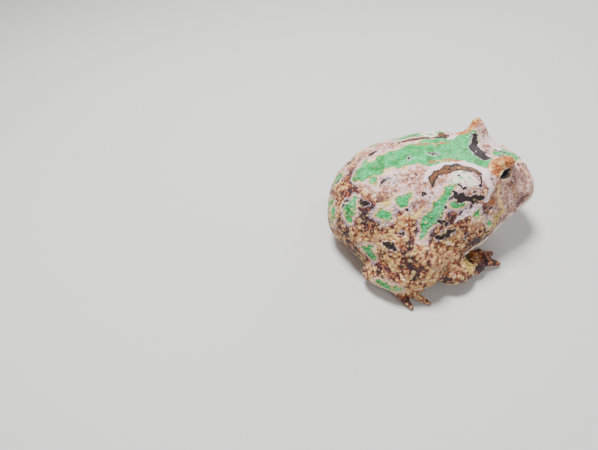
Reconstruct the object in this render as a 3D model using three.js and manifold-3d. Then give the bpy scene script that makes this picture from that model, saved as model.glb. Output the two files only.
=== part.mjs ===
// Argentine horned frog, life size, sitting on its belly with its head raised and its limbs folded.
// Millimetres. +X points to the snout, +Y to the frog's left, +Z up, and the floor is at z = 0.
import * as THREE from "three";
import { mergeVertices } from "three/addons/utils/BufferGeometryUtils.js";
import Module from "manifold-3d";

const wasm = await Module();
wasm.setup();

// Driving dimensions of the whole frog
const SNOUT_VENT = 92; // snout tip to vent along the back, as seen from above
const HEAD_WIDTH = 58; // across the corners of the mouth
const TRUNK_WIDTH = 65; // across the flanks
const BACK_HEIGHT = 47; // floor to the top of the back
const GAP = 0.32; // space kept between two nodes that touch
const WRAP_REACH = 80; // a ray starts this far outside the form that it looks for
const SNOUT_X = SNOUT_VENT / 2;

// Eyes and lids
const EYE_R = 4.7;
const EYE_AT = [21.8, 11.6, 38.8]; // the left eye's centre; the right one is its mirror image
const EYE_LOOKS = [0.46, 0.74, 0.48]; // the way that the left eye looks
const LID_THICK = 1.15;
// The gap between the lids: half sizes, rise over the eye's centre, and the tilt that lifts its front corner
const LID_OPENING = { along: 4.5, high: 2.7, deep: 3.6, raised: 0.6, tilt: 0.35 };
const HORN = { base: 7.2, height: 11.2, leans: [0.17, 0.36, 0.92], tip: 1.3, belly: 1.1, narrow: 0.84 };

// Mouth, nostrils and eardrums
const MOUTH_FRONT_Z = 21.5;
const MOUTH_CORNER = [3.5, 12]; // x and z of the mouth's corner
const LIP_R = 0.95;
const JAW_INSET = 1.0; // how far the lower jaw stays inside the upper lip
const NOSTRIL = { x: 35.8, y: 5.4, pit: 0.85, rim: 1.8 };
const EARDRUM = { x: 14, z: 29.8, ring: 3.1, tube: 0.5 };
const NECK = { x: 1.5, lean: 0.12 }; // where the head is parted from the trunk, and how the cut leans

// Limbs of the left side: the joints' places and the limbs' radii at the joints
const ARM = {
  shoulder: [0.5, 21, 17],
  elbow: [-8.5, 33.5, 9.5],
  wrist: [8, 33, 5.2],
  palm: [13.5, 30.5, 3.4],
};
const LEG = {
  hip: [-27, 15, 17],
  knee: [-9.5, 35, 12.5],
  heel: [-38, 25.5, 6.2],
  sole: [-29, 32, 3.6],
};
// Fingers and toes: lengths, the angles between them and the hand's or foot's own, and their radii
const FINGERS = {
  lengths: [8.5, 9, 10.5, 9],
  spread: [-84, -52, -24, 10],
  axis: -6,
  base: 2,
  tip: 1.25,
};
const TOES = {
  lengths: [8, 10.5, 13.5, 17, 12.5],
  spread: [-44, -24, -5, 14, 37],
  axis: 26,
  base: 2,
  tip: 1.15,
};
const WEB_SHARE = 0.52; // how much of each toe's length the web reaches along
const WEB_THICK = 0.9;
const SPADE = { long: 3.6, wide: 1.7, high: 2.1 }; // the digging tubercle on the inside of the foot

// Warts on the back, flanks and head, in seeded places
const WARTS = { trunk: 22, head: 8, wide: [1.1, 1.7], high: [0.7, 1.2], seed: 7 };

const vec = (a) => new THREE.Vector3(...a);
const mirrored = (a, side) => [a[0], a[1] * side, a[2]];

// The mass of one smooth form: an ellipsoid with its centre and half sizes.
function mass(at, half) {
  return { at: vec(at), half: vec(half) };
}

// Signed distance to an ellipsoid, close enough near its surface.
function distance(form, p) {
  const x = (p.x - form.at.x) / form.half.x;
  const y = (p.y - form.at.y) / form.half.y;
  const z = (p.z - form.at.z) / form.half.z;
  const scaled = Math.hypot(x, y, z);
  const steep = Math.hypot(x / form.half.x, y / form.half.y, z / form.half.z);
  return steep < 1e-9 ? -Math.min(form.half.x, form.half.y, form.half.z) : (scaled * (scaled - 1)) / steep;
}

// Several masses that flow into each other over a width of soft millimetres.
function flowing(masses, soft) {
  return (p) => {
    let total = 1e9;
    for (const form of masses) {
      const d = distance(form, p);
      const h = Math.max(soft - Math.abs(total - d), 0) / soft;
      total = Math.min(total, d) - (h * h * soft) / 4;
    }
    return total;
  };
}

// Both sides of a mass that isn't on the middle line.
function pair(at, half) {
  return [mass(at, half), mass(mirrored(at, -1), half)];
}

// A closed body from a sphere whose points are moved along their rays onto a field's outermost surface.
function wrapped(field, centre, detail, grown = 0) {
  const geometry = new THREE.IcosahedronGeometry(1, detail);
  const place = geometry.attributes.position;
  const from = vec(centre);
  const ray = new THREE.Vector3();
  const probe = new THREE.Vector3();
  const at = (t) => field(probe.copy(ray).multiplyScalar(t).add(from)) - grown;
  for (let i = 0; i < place.count; i++) {
    ray.fromBufferAttribute(place, i).normalize();
    let outside = WRAP_REACH;
    while (outside > 0.6 && at(outside - 0.6) > 0) outside -= 0.6;
    let inside = outside - 0.6;
    for (let step = 0; step < 14; step++) {
      const middle = (inside + outside) / 2;
      if (at(middle) > 0) outside = middle;
      else inside = middle;
    }
    ray.multiplyScalar(outside).add(from);
    place.setXYZ(i, ray.x, ray.y, ray.z);
  }
  return solid(geometry);
}

// A three.js geometry as a solid for the cuts and joins.
function solid(geometry) {
  const bare = geometry.clone();
  bare.deleteAttribute("normal");
  bare.deleteAttribute("uv");
  const merged = mergeVertices(bare, 1e-4);
  return new wasm.Manifold(
    new wasm.Mesh({
      numProp: 3,
      vertProperties: new Float32Array(merged.attributes.position.array),
      triVerts: new Uint32Array(merged.index.array),
    })
  );
}

// A solid of a placed three.js geometry: moved, turned and scaled by a matrix.
function placed(geometry, matrix) {
  return solid(geometry.clone().applyMatrix4(matrix));
}

function moveTurnScale(at, along, scale) {
  const turn = new THREE.Quaternion().setFromUnitVectors(new THREE.Vector3(0, 0, 1), vec(along).normalize());
  return new THREE.Matrix4().compose(vec(at), turn, vec(scale));
}

function ball(at, half, columns = 12, rows = 8) {
  const matrix = new THREE.Matrix4().compose(vec(at), new THREE.Quaternion(), vec(half));
  return placed(new THREE.SphereGeometry(1, columns, rows), matrix);
}

// A round body along a path: a lathe profile whose axis is bent along the path. radii run from start to end.
function limb(points, radii, sides, rings, flat = 1, grown = 0) {
  const path = new THREE.CatmullRomCurve3(points.map(vec), false, "centripetal");
  const thick = new THREE.CatmullRomCurve3(radii.map((r, i) => new THREE.Vector3(r, i, 0)));
  const profile = [new THREE.Vector2(0, 0)];
  for (let i = 0; i <= rings; i++) {
    const t = i / rings;
    const end = Math.min(1, Math.sqrt(Math.max(0, 1 - (2 * Math.abs(t - 0.5)) ** 8)) + 0.45);
    profile.push(new THREE.Vector2(thick.getPoint(t).x * (i === 0 || i === rings ? 0.72 : end) + grown, t));
  }
  profile.push(new THREE.Vector2(0, 1));
  const geometry = new THREE.LatheGeometry(profile, sides);
  const place = geometry.attributes.position;
  const up = new THREE.Vector3(0, 0, 1);
  for (let i = 0; i < place.count; i++) {
    const t = THREE.MathUtils.clamp(place.getY(i), 0, 1);
    const centre = path.getPoint(t);
    const along = path.getTangent(t).normalize();
    const across = new THREE.Vector3().crossVectors(up, along).normalize();
    const above = new THREE.Vector3().crossVectors(along, across);
    const cap = t === 0 ? -1 : t === 1 ? 1 : 0;
    const onAxis = Math.hypot(place.getX(i), place.getZ(i)) < 1e-6;
    const bulge = cap * (onAxis ? radii[cap < 0 ? 0 : radii.length - 1] * 0.35 + grown : 0);
    centre
      .addScaledVector(along, bulge)
      .addScaledVector(across, place.getX(i))
      .addScaledVector(above, place.getZ(i) * flat);
    place.setXYZ(i, centre.x, centre.y, centre.z);
  }
  return outwards(solid(geometry));
}

// A lathe bent along a path can come out with its faces pointing in. Then they are turned round.
function outwards(made) {
  if (made.volume() >= 0) return made;
  const mesh = made.getMesh();
  const turned = mesh.triVerts.slice();
  for (let i = 0; i < turned.length; i += 3) [turned[i + 1], turned[i + 2]] = [turned[i + 2], turned[i + 1]];
  const facingOut = new wasm.Mesh({ numProp: 3, vertProperties: mesh.vertProperties, triVerts: turned });
  return new wasm.Manifold(facingOut);
}

// Everything under the floor is cut away, which leaves the small flats that the frog rests on.
const underFloor = placed(
  new THREE.BoxGeometry(400, 400, 60),
  new THREE.Matrix4().makeTranslation(0, 0, -30)
);

function largest(made) {
  const bodies = made.decompose();
  return bodies.sort((a, b) => b.volume() - a.volume())[0];
}

// The trunk, neck and head are one flowing form, and the nodes are parts of it.
const trunkHalf = TRUNK_WIDTH / 2;
const TRUNK_MASSES = [
  mass([-10, 0, BACK_HEIGHT - 26], [35.5, trunkHalf - 1.5, 25.5]), // belly and back
  ...pair([-17, trunkHalf - 17, 15], [23, 16.5, 15.5]), // flanks
  ...pair([5, 16.5, 18], [13, 13, 14.5]), // shoulders
  ...pair([4.5, 14.5, 34], [13.5, 8.5, 9.5]), // shoulder blades
  mass([-33, 0, 16], [12.5, 20, 15.5]), // rump
  mass([4 - SNOUT_X, 0, 13], [5, 7, 5.5]), // vent
];
const headHalf = HEAD_WIDTH / 2;
const HEAD_MASSES = [
  mass([20, 0, 21], [SNOUT_X - 20, 21, 11.5]), // upper jaw and snout
  mass([7, 0, 18.5], [30, headHalf - 2.5, 11]), // the wide hind part of the jaws
  ...pair([7, headHalf - 11, 19], [13, 10.5, 11.5]), // jaw muscles at the mouth's corners
  mass([9, 0, 27.5], [26, 19.5, 15]), // skull
  mass([29.5, 0, 27.5], [14, 12, 9.8]), // ridge of the snout
  ...pair([33, 6.5, 23], [12.3, 8.5, 8.5]), // the broad blunt tip of the snout
  ...pair([20, 12, 30], [10, 7.5, 8]), // cheeks under the eyes
  ...pair([26.5, 8.6, 34], [7, 4.8, 5.4]), // ridges from the lids to the snout
  mass([14, 0, 9], [23, 20, 9]), // throat
];
const BROW_MASSES = pair(EYE_AT, [EYE_R + LID_THICK + 0.2, EYE_R + LID_THICK, EYE_R + LID_THICK]);
const NOSTRIL_MASSES = pair([NOSTRIL.x, NOSTRIL.y, 33.6], [NOSTRIL.rim, NOSTRIL.rim, NOSTRIL.rim]);

const roundedBody = flowing([...TRUNK_MASSES, ...HEAD_MASSES], 5.5);
const browedBody = flowing(BROW_MASSES, 1);
const nostrilRims = flowing(NOSTRIL_MASSES, 1);

function softUnion(a, b, soft) {
  const h = Math.max(soft - Math.abs(a - b), 0) / soft;
  return Math.min(a, b) - (h * h * soft) / 4;
}

const body = (p) => softUnion(softUnion(roundedBody(p), browedBody(p), 4.5), nostrilRims(p), 3);
const jawBody = (p) => roundedBody(p) + JAW_INSET;

// The point where a ray from a centre leaves the body.
function onBody(centre, towards, field = body) {
  const from = vec(centre);
  const ray = vec(towards).normalize();
  const probe = new THREE.Vector3();
  let t = WRAP_REACH;
  while (t > 0 && field(probe.copy(ray).multiplyScalar(t).add(from)) > 0) t -= 0.05;
  return probe.clone();
}

function outwardAt(p, field = body) {
  const e = 0.4;
  const slope = (...step) => field(p.clone().add(vec(step))) - field(p.clone().sub(vec(step)));
  return new THREE.Vector3(slope(e, 0, 0), slope(0, e, 0), slope(0, 0, e)).normalize();
}

// The mouth's line in side view, from behind its corner to in front of the snout.
const mouthLine = new THREE.CatmullRomCurve3([
  new THREE.Vector3(MOUTH_CORNER[0], 0, MOUTH_CORNER[1]),
  new THREE.Vector3(13, 0, 15.2),
  new THREE.Vector3(27, 0, 19.3),
  new THREE.Vector3(38, 0, 21.2),
  new THREE.Vector3(SNOUT_X + 6, 0, MOUTH_FRONT_Z),
]);

// All that lies under the mouth's line and in front of the throat's hind edge, as one block across the head.
function jawBlock(raised) {
  const side = new THREE.Shape();
  const line = mouthLine.getPoints(14);
  side.moveTo(line[0].x - raised, line[0].z + raised);
  for (const p of line.slice(1)) side.lineTo(p.x, p.z + raised);
  side.lineTo(SNOUT_X + 6, -12);
  side.lineTo(MOUTH_CORNER[0] + 4 - raised, -12);
  side.closePath();
  const block = new THREE.ExtrudeGeometry(side, { depth: 90, bevelEnabled: false });
  block.applyMatrix4(new THREE.Matrix4().makeRotationX(Math.PI / 2).setPosition(0, 45, 0));
  return solid(block);
}

// A half space in front of the neck, as a leaning box.
function beforeNeck(shift) {
  const size = 160;
  const matrix = new THREE.Matrix4()
    .makeTranslation(NECK.x + shift, 0, 20)
    .multiply(new THREE.Matrix4().makeRotationY(NECK.lean))
    .multiply(new THREE.Matrix4().makeTranslation(size / 2, 0, 0));
  return placed(new THREE.BoxGeometry(size, size, size), matrix);
}

// A bead along the mouth on the field's surface, shift millimetres above or below the mouth's line.
function lip(field, shift, radius) {
  const rim = [];
  const steps = 26;
  const reach = SNOUT_X + 6 - MOUTH_CORNER[0];
  for (let i = 0; i <= steps; i++) {
    const angle = THREE.MathUtils.lerp(-1.62, 1.62, i / steps);
    const towards = [Math.cos(angle), Math.sin(angle), 0];
    let p = onBody([4, 0, 18], towards, field);
    for (let pass = 0; pass < 5; pass++) {
      const t = THREE.MathUtils.clamp((p.x - MOUTH_CORNER[0]) / reach, 0, 1);
      const height = mouthHeight(MOUTH_CORNER[0] + t * reach) + shift;
      p = onBody([4, 0, height], towards, field);
    }
    const inwards = outwardAt(p, field).multiplyScalar(-radius * 0.45);
    rim.push(p.add(inwards).toArray());
  }
  const radii = [0.3, 0.8, 1, 1, 1, 1, 1, 0.8, 0.3].map((share) => share * radius);
  return limb(rim, radii, 5, 24);
}

function mouthHeight(x) {
  let low = 0;
  let high = 1;
  for (let i = 0; i < 18; i++) {
    const middle = (low + high) / 2;
    if (mouthLine.getPoint(middle).x < x) low = middle;
    else high = middle;
  }
  return mouthLine.getPoint(low).z;
}

// Eyes, lids and horns
function eyeball(side, grown = 0) {
  const r = EYE_R + grown;
  return ball(mirrored(EYE_AT, side), [r, r, r], 14, 10);
}

// The almond gap between the lids, longest from the front corner to the back corner of the eye.
function lidOpening(side) {
  const looks = vec(mirrored(EYE_LOOKS, side)).normalize();
  const up = new THREE.Vector3(0, 0, 1).addScaledVector(looks, -looks.z).normalize();
  up.applyAxisAngle(looks, -LID_OPENING.tilt * side);
  const along = new THREE.Vector3().crossVectors(up, looks);
  const centre = vec(mirrored(EYE_AT, side)).addScaledVector(looks, EYE_R + 0.6);
  centre.addScaledVector(up, LID_OPENING.raised);
  const turn = new THREE.Matrix4().makeBasis(
    along.multiplyScalar(LID_OPENING.along),
    looks.clone().multiplyScalar(LID_OPENING.deep),
    up.multiplyScalar(LID_OPENING.high)
  );
  const opening = placed(new THREE.SphereGeometry(1, 16, 10), turn.setPosition(centre));
  return outwards(opening);
}

// The upper lid and its pointed fleshy horn, as one piece over the eye.
function hornedLid(side, grown = 0) {
  const at = vec(mirrored(EYE_AT, side));
  const looks = vec(mirrored(EYE_LOOKS, side)).normalize();
  const lean = vec(mirrored(HORN.leans, side)).normalize();
  const lidR = EYE_R + LID_THICK + grown;
  const dome = ball(at.toArray(), [lidR * 1.04, lidR, lidR], 14, 10);
  const upper = new THREE.Matrix4()
    .makeTranslation(at.x, at.y, at.z + 20 + 0.9 - grown)
    .multiply(new THREE.Matrix4().makeRotationX(0.3 * side));
  const above = placed(new THREE.BoxGeometry(40, 40, 40), upper);
  const profile = [];
  const steps = 7;
  for (let i = 0; i <= steps; i++) {
    const t = i / steps;
    const r = THREE.MathUtils.lerp(HORN.base, HORN.tip, t ** 1.25) * Math.sqrt(1 - t ** 8) + grown * (1 - t);
    profile.push(new THREE.Vector2(i === steps ? 0 : r, t * (HORN.height + grown)));
  }
  profile.unshift(new THREE.Vector2(0, 0));
  const cone = new THREE.LatheGeometry(profile, 10);
  const place = cone.attributes.position;
  for (let i = 0; i < place.count; i++) {
    const t = THREE.MathUtils.clamp(place.getY(i) / HORN.height, 0, 1);
    place.setX(i, place.getX(i) + HORN.belly * Math.sin(Math.PI * t));
  }
  cone.applyMatrix4(new THREE.Matrix4().makeRotationX(Math.PI / 2));
  const root = at.clone().addScaledVector(looks, -1.2).addScaledVector(lean, 0.8);
  const horn = outwards(placed(cone, moveTurnScale(root.toArray(), lean.toArray(), [1, HORN.narrow, 1])));
  return dome.intersect(above).add(horn);
}

// A few seeded numbers from 0 to 1, the same at each run.
function seeded(seed) {
  let state = seed;
  return () => {
    state = (state * 16807) % 2147483647;
    return state / 2147483647;
  };
}

// Blunt cones set on the surface, each with its root sunk in.
function warts(count, xRange, centre, random) {
  const made = [];
  while (made.length < count) {
    const angle = THREE.MathUtils.lerp(-1.15, 1.15, random());
    const x = THREE.MathUtils.lerp(xRange[0], xRange[1], random());
    const p = onBody([x, 0, centre], [0, Math.sin(angle), Math.cos(angle)], roundedBody);
    const wide = THREE.MathUtils.lerp(WARTS.wide[0], WARTS.wide[1], random());
    const high = THREE.MathUtils.lerp(WARTS.high[0], WARTS.high[1], random());
    const out = outwardAt(p, roundedBody);
    const dome = new THREE.SphereGeometry(1, 6, 3).rotateX(Math.PI / 2);
    const root = p.addScaledVector(out, -0.25);
    made.push(placed(dome, moveTurnScale(root.toArray(), out.toArray(), [wide, wide, high + 0.25])));
  }
  return made;
}

// The ring of the eardrum, behind and below the eye.
function eardrum(side) {
  const p = onBody([EARDRUM.x, 0, EARDRUM.z], [0, side, 0.05], roundedBody);
  const out = outwardAt(p, roundedBody);
  const ring = new THREE.TorusGeometry(EARDRUM.ring, EARDRUM.tube, 5, 14);
  return placed(ring, moveTurnScale(p.toArray(), out.toArray(), [1, 1, 1]));
}

function nostrilPit(side) {
  const p = onBody([NOSTRIL.x - 3, NOSTRIL.y * side, 28], [0.36, 0.12 * side, 1]);
  return ball(p.toArray(), [NOSTRIL.pit * 1.15, NOSTRIL.pit, NOSTRIL.pit], 8, 6);
}

// Limbs. grown makes the same form thicker, to keep the gap to its neighbours.
function upperArm(side, grown = 0) {
  const { shoulder, elbow } = ARM;
  const points = [shoulder, [-4.5, 29, 13.5], elbow].map((p) => mirrored(p, side));
  return limb(points, [8.8, 7.6, 6], 12, 7, 1, grown);
}

function forearm(side, grown = 0) {
  const { elbow, wrist } = ARM;
  const points = [elbow, [0, 35, 7.4], wrist].map((p) => mirrored(p, side));
  return limb(points, [5.8, 6.2, 3.8], 12, 7, 0.92, grown);
}

// A digit from its root, with a slight arch, down to a rounded tip on the floor.
function digit(root, heading, length, sizes) {
  const way = (share, z) => [
    root[0] + Math.cos(heading) * length * share,
    root[1] + Math.sin(heading) * length * share,
    z,
  ];
  const points = [root, way(0.3, sizes.base + 1.5), way(0.65, sizes.base + 0.5), way(1, sizes.tip - 0.12)];
  return limb(points, [sizes.base, sizes.base * 0.98, sizes.base * 0.8, sizes.tip], 6, 4, 0.92);
}

function hand(side) {
  const { wrist, palm } = ARM;
  const at = (p) => mirrored(p, side);
  let made = limb([at(wrist), at([10.8, 32, 4.2]), at(palm)], [3.6, 4.1, 3.9], 9, 5, 0.8);
  FINGERS.lengths.forEach((length, i) => {
    const heading = THREE.MathUtils.degToRad(FINGERS.spread[i] + FINGERS.axis);
    const root = at([palm[0] + Math.cos(heading) * 1.6, palm[1] + Math.sin(heading) * 1.9, palm[2] - 0.2]);
    made = made.add(digit(root, heading * side, length, FINGERS));
  });
  return made;
}

function thigh(side, grown = 0) {
  const { hip, knee } = LEG;
  const points = [hip, [-18, 27, 17], knee].map((p) => mirrored(p, side));
  return limb(points, [12.5, 12.3, 7.6], 14, 9, 1, grown);
}

function shank(side, grown = 0) {
  const { knee, heel } = LEG;
  const points = [knee, [-23.5, 33.5, 10], heel].map((p) => mirrored(p, side));
  return limb(points, [6.6, 7.8, 4.6], 12, 9, 0.95, grown);
}

// The foot: a long ankle, five toes, half a web between them and the digging tubercle.
function foot(side) {
  const { heel, sole } = LEG;
  const at = (p) => mirrored(p, side);
  let made = limb([at(heel), at([-32, 31.5, 4.6]), at(sole)], [4.2, 4.4, 4.2], 9, 5, 0.85);
  const headings = TOES.spread.map((angle) => THREE.MathUtils.degToRad(angle + TOES.axis));
  const roots = headings.map((heading) => [
    sole[0] + Math.cos(heading) * 2.6,
    sole[1] + Math.sin(heading) * 2.6,
    sole[2] - 0.5,
  ]);
  TOES.lengths.forEach((length, i) => {
    made = made.add(digit(at(roots[i]), headings[i] * side, length, TOES));
  });
  for (let i = 0; i < 4; i++) made = made.add(web(i, side, roots, headings));
  const spadeAt = at([sole[0] + 0.6, sole[1] - 4.2, 2.2]);
  const spade = new THREE.Matrix4()
    .makeTranslation(...spadeAt)
    .multiply(new THREE.Matrix4().makeRotationZ(-0.25 * side))
    .scale(new THREE.Vector3(SPADE.long, SPADE.wide, SPADE.high));
  return made.add(placed(new THREE.SphereGeometry(1, 10, 8), spade));
}

// A web between two toes: a thin plate whose free edge sags towards the foot.
function web(i, side, roots, headings) {
  const tipOf = (k) => {
    const reach = TOES.lengths[k] * WEB_SHARE;
    return new THREE.Vector2(
      roots[k][0] + Math.cos(headings[k]) * reach,
      (roots[k][1] + Math.sin(headings[k]) * reach) * side
    );
  };
  const rootOf = (k) => new THREE.Vector2(roots[k][0], roots[k][1] * side);
  const [a, b] = [tipOf(i), tipOf(i + 1)];
  const sole = new THREE.Vector2(LEG.sole[0], LEG.sole[1] * side);
  const sag = a.clone().add(b).multiplyScalar(0.5).lerp(sole, 0.3);
  const outline = new THREE.Shape();
  outline.moveTo(...rootOf(i));
  outline.lineTo(...a);
  outline.quadraticCurveTo(...sag, ...b);
  outline.lineTo(...rootOf(i + 1));
  outline.closePath();
  const options = { depth: WEB_THICK, bevelEnabled: false, curveSegments: 5 };
  const plate = new THREE.ExtrudeGeometry(outline, options);
  return outwards(placed(plate, new THREE.Matrix4().makeTranslation(0, 0, 0.7)));
}

// Materials from the photograph: green and cream skin, red-brown flanks, orange lids and a black eye.
const COLOURS = {
  skin: { color: 0x8fb58a, roughness: 0.55, metalness: 0 },
  face: { color: 0xa98d7c, roughness: 0.5, metalness: 0 },
  throat: { color: 0xcdbd9e, roughness: 0.6, metalness: 0 },
  lid: { color: 0xb0794a, roughness: 0.5, metalness: 0 },
  eye: { color: 0x120d0a, roughness: 0.08, metalness: 0 },
  limb: { color: 0xb79a72, roughness: 0.6, metalness: 0 },
};

const frog = new THREE.Group();

function node(name, colour, made) {
  const mesh = largest(made.subtract(underFloor)).getMesh();
  const geometry = new THREE.BufferGeometry();
  geometry.setAttribute("position", new THREE.BufferAttribute(mesh.vertProperties.slice(), 3));
  geometry.setIndex(new THREE.BufferAttribute(mesh.triVerts.slice(), 1));
  geometry.computeVertexNormals();
  const material = new THREE.MeshStandardMaterial(COLOURS[colour]);
  const piece = new THREE.Mesh(geometry, material);
  piece.name = name;
  frog.add(piece);
  return piece;
}

const without = (made, cutters) => cutters.reduce((left, cutter) => left.subtract(cutter), made);
const SIDES = [
  ["left", 1],
  ["right", -1],
];

// Trunk and head
const TRUNK_CENTRE = [-10, 0, 20];
const HEAD_CENTRE = [14, 0, 22];
const random = seeded(WARTS.seed);
const fatTrunk = wrapped(body, TRUNK_CENTRE, 6, GAP + 0.2);
const fatHead = wrapped(body, HEAD_CENTRE, 7, GAP + 0.2);
const neckGap = GAP / 2;

let trunk = wrapped(body, TRUNK_CENTRE, 9).subtract(beforeNeck(-neckGap));
trunk = warts(WARTS.trunk, [-36, -3], 16, random).reduce((all, wart) => all.add(wart), trunk);
node("trunk", "skin", trunk);

let head = wrapped(body, HEAD_CENTRE, 11);
head = warts(WARTS.head, [5, 19], 20, random).reduce((all, wart) => all.add(wart), head);
head = head.add(lip(body, GAP + LIP_R + 0.05, LIP_R));
for (const [, side] of SIDES) {
  head = head.add(eardrum(side)).subtract(nostrilPit(side));
  head = without(head, [hornedLid(side, GAP), eyeball(side, GAP), lidOpening(side)]);
}
node("head", "face", head.intersect(beforeNeck(neckGap)).subtract(jawBlock(GAP)));

const jaw = wrapped(jawBody, HEAD_CENTRE, 7).add(lip(jawBody, -LIP_R * 0.8 - 0.05, LIP_R * 0.8));
node("lower_jaw", "throat", jaw.intersect(jawBlock(0)).intersect(beforeNeck(neckGap)));

for (const [name, side] of SIDES) {
  node(`eye_${name}`, "eye", eyeball(side));
  node(`horned_lid_${name}`, "lid", without(hornedLid(side), [eyeball(side, GAP), lidOpening(side)]));
}

// Limbs
for (const [name, side] of SIDES) {
  const bodyCut = [fatTrunk, fatHead];
  const arm = upperArm(side);
  node(`upper_arm_${name}`, "limb", without(arm, bodyCut));
  node(`forearm_${name}`, "limb", without(forearm(side), [...bodyCut, upperArm(side, GAP)]));
  node(`hand_${name}`, "limb", without(hand(side), [...bodyCut, forearm(side, GAP), upperArm(side, GAP)]));
  const armCut = [upperArm(side, GAP), forearm(side, GAP)];
  node(`thigh_${name}`, "limb", without(thigh(side), [...bodyCut, ...armCut]));
  node(`shank_${name}`, "limb", without(shank(side), [...bodyCut, thigh(side, GAP), ...armCut]));
  node(`foot_${name}`, "limb", without(foot(side), [...bodyCut, shank(side, GAP), thigh(side, GAP)]));
}

// The origin is on the floor, under the middle of the frog.
const around = new THREE.Box3().setFromObject(frog);
const middle = around.getCenter(new THREE.Vector3());
for (const piece of frog.children) piece.geometry.translate(-middle.x, -middle.y, 0);

export default frog;
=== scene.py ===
# %% [markdown]
# # An Argentine horned frog, life size
# This lesson dresses a plain solid frog, made in CAD, as a museum model. The solids give the size and the
# pose. Here they become one moist, warty skin with painted markings, two wet eyes and pale rims to the lids.
# All lengths below are in millimetres until the last moment, because a frog is easier to think of that way.

# %% Load the solids
import math
import random

import bmesh
import bpy
import numpy as np
from mathutils import Matrix, Vector, kdtree, noise


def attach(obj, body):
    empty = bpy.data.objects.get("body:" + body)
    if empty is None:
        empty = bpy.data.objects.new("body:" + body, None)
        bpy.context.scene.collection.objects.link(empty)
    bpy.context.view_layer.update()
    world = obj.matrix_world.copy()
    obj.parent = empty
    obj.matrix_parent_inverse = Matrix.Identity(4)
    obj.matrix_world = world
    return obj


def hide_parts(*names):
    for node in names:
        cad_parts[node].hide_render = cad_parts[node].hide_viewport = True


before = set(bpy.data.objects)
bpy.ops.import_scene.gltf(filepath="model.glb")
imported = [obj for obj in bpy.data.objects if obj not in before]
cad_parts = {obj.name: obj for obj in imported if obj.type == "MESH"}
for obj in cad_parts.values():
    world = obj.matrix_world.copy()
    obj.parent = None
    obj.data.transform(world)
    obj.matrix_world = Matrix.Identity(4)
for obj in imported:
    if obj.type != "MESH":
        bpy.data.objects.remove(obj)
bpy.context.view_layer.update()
MM = 0.001  # one millimetre in Blender's metres

# %% [markdown]
# ## The camera
# The view is from above the frog's right side. A camera is a place and three directions: right, up and back.
# Written as the columns of a matrix they turn Blender's camera in one step. Depth of field stays off, so that
# every view of the model is sharp.

# %% Place the camera
CAMERA_AT = (-78.04, -135.63, 159.09)
CAMERA_RIGHT = (0.9824, -0.1789, -0.0534)
CAMERA_UP = (0.1662, 0.7077, 0.6867)
CAMERA_BACK = (-0.085, -0.6835, 0.725)
LENS, SENSOR = 26, 36  # both in millimetres
NEAREST = 5  # anything closer to the camera isn't drawn

camera_data = bpy.data.cameras.new("camera")
camera_data.lens = LENS
camera_data.sensor_width = SENSOR
camera_data.sensor_fit = "HORIZONTAL"
camera_data.clip_start = NEAREST * MM
camera = bpy.data.objects.new("camera", camera_data)
bpy.context.scene.collection.objects.link(camera)
turn = Matrix((CAMERA_RIGHT, CAMERA_UP, CAMERA_BACK)).transposed().to_4x4()
camera.matrix_world = Matrix.Translation(Vector(CAMERA_AT) * MM) @ turn
bpy.context.scene.camera = camera
print("camera at", [round(c / MM) for c in camera.location], "mm")

# %% [markdown]
# ## One skin from many solids
# The solids meet with thin gaps, which would show as seams. A sculptor closes such gaps with clay. Blender
# does it with a voxel remesh: the solids are copied, grown a little until they touch, and turned into one
# even net of small squares. The eyeballs are copied too, so that the sockets are closed behind the lids.

# %% Join copies of the flesh nodes
GROWTH = 0.36  # more than half the gap between two solids
VOXEL = 0.6
SAME_PLACE = 0.002  # corners closer than this are one
EYES = ["eye_left", "eye_right"]
FLESH = [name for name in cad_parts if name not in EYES]


def joined_copies(names, growth):
    """One mesh of the merged copies of CAD nodes, each grown outwards."""
    everything = bmesh.new()
    for name in names:
        part = bmesh.new()
        part.from_mesh(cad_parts[name].data)
        bmesh.ops.remove_doubles(part, verts=part.verts, dist=SAME_PLACE * MM)
        part.normal_update()
        for vertex in part.verts:
            vertex.co += vertex.normal * growth * MM
        step = bpy.data.meshes.new("step")
        part.to_mesh(step)
        part.free()
        everything.from_mesh(step)
        bpy.data.meshes.remove(step)
    mesh = bpy.data.meshes.new("skin")
    everything.to_mesh(mesh)
    everything.free()
    return mesh


def apply_modifiers(piece):
    """Gives the piece the mesh that its modifiers make."""
    bpy.context.view_layer.update()
    seen = piece.evaluated_get(bpy.context.evaluated_depsgraph_get())
    finished = bpy.data.meshes.new_from_object(seen)
    piece.modifiers.clear()
    piece.data = finished


skin = bpy.data.objects.new("skin", joined_copies(FLESH + EYES, GROWTH))
bpy.context.scene.collection.objects.link(skin)
remesh = skin.modifiers.new("remesh", "REMESH")
remesh.mode = "VOXEL"
remesh.voxel_size = VOXEL * MM
apply_modifiers(skin)
print("skin:", len(skin.data.vertices), "points,", len(skin.data.polygons), "squares")

# %% [markdown]
# ## Keep the outer surface only
# Under the lids and between the folded limbs the remesh can leave closed bubbles. The skin is the largest
# connected net, so everything that doesn't hang together with it is thrown away.

# %% Throw away the bubbles
def keep_largest_shell(mesh):
    """Deletes all but the largest connected part of a mesh, and says how many parts there were."""
    shell = bmesh.new()
    shell.from_mesh(mesh)
    unseen = set(shell.verts)
    groups = []
    while unseen:
        start = unseen.pop()
        group = [start]
        for vertex in group:
            for edge in vertex.link_edges:
                other = edge.other_vert(vertex)
                if other in unseen:
                    unseen.remove(other)
                    group.append(other)
        groups.append(group)
    groups.sort(key=len, reverse=True)
    loose = [vertex for group in groups[1:] for vertex in group]
    bmesh.ops.delete(shell, geom=loose, context="VERTS")
    shell.to_mesh(mesh)
    shell.free()
    return len(groups)


print("shells found:", keep_largest_shell(skin.data))

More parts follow.
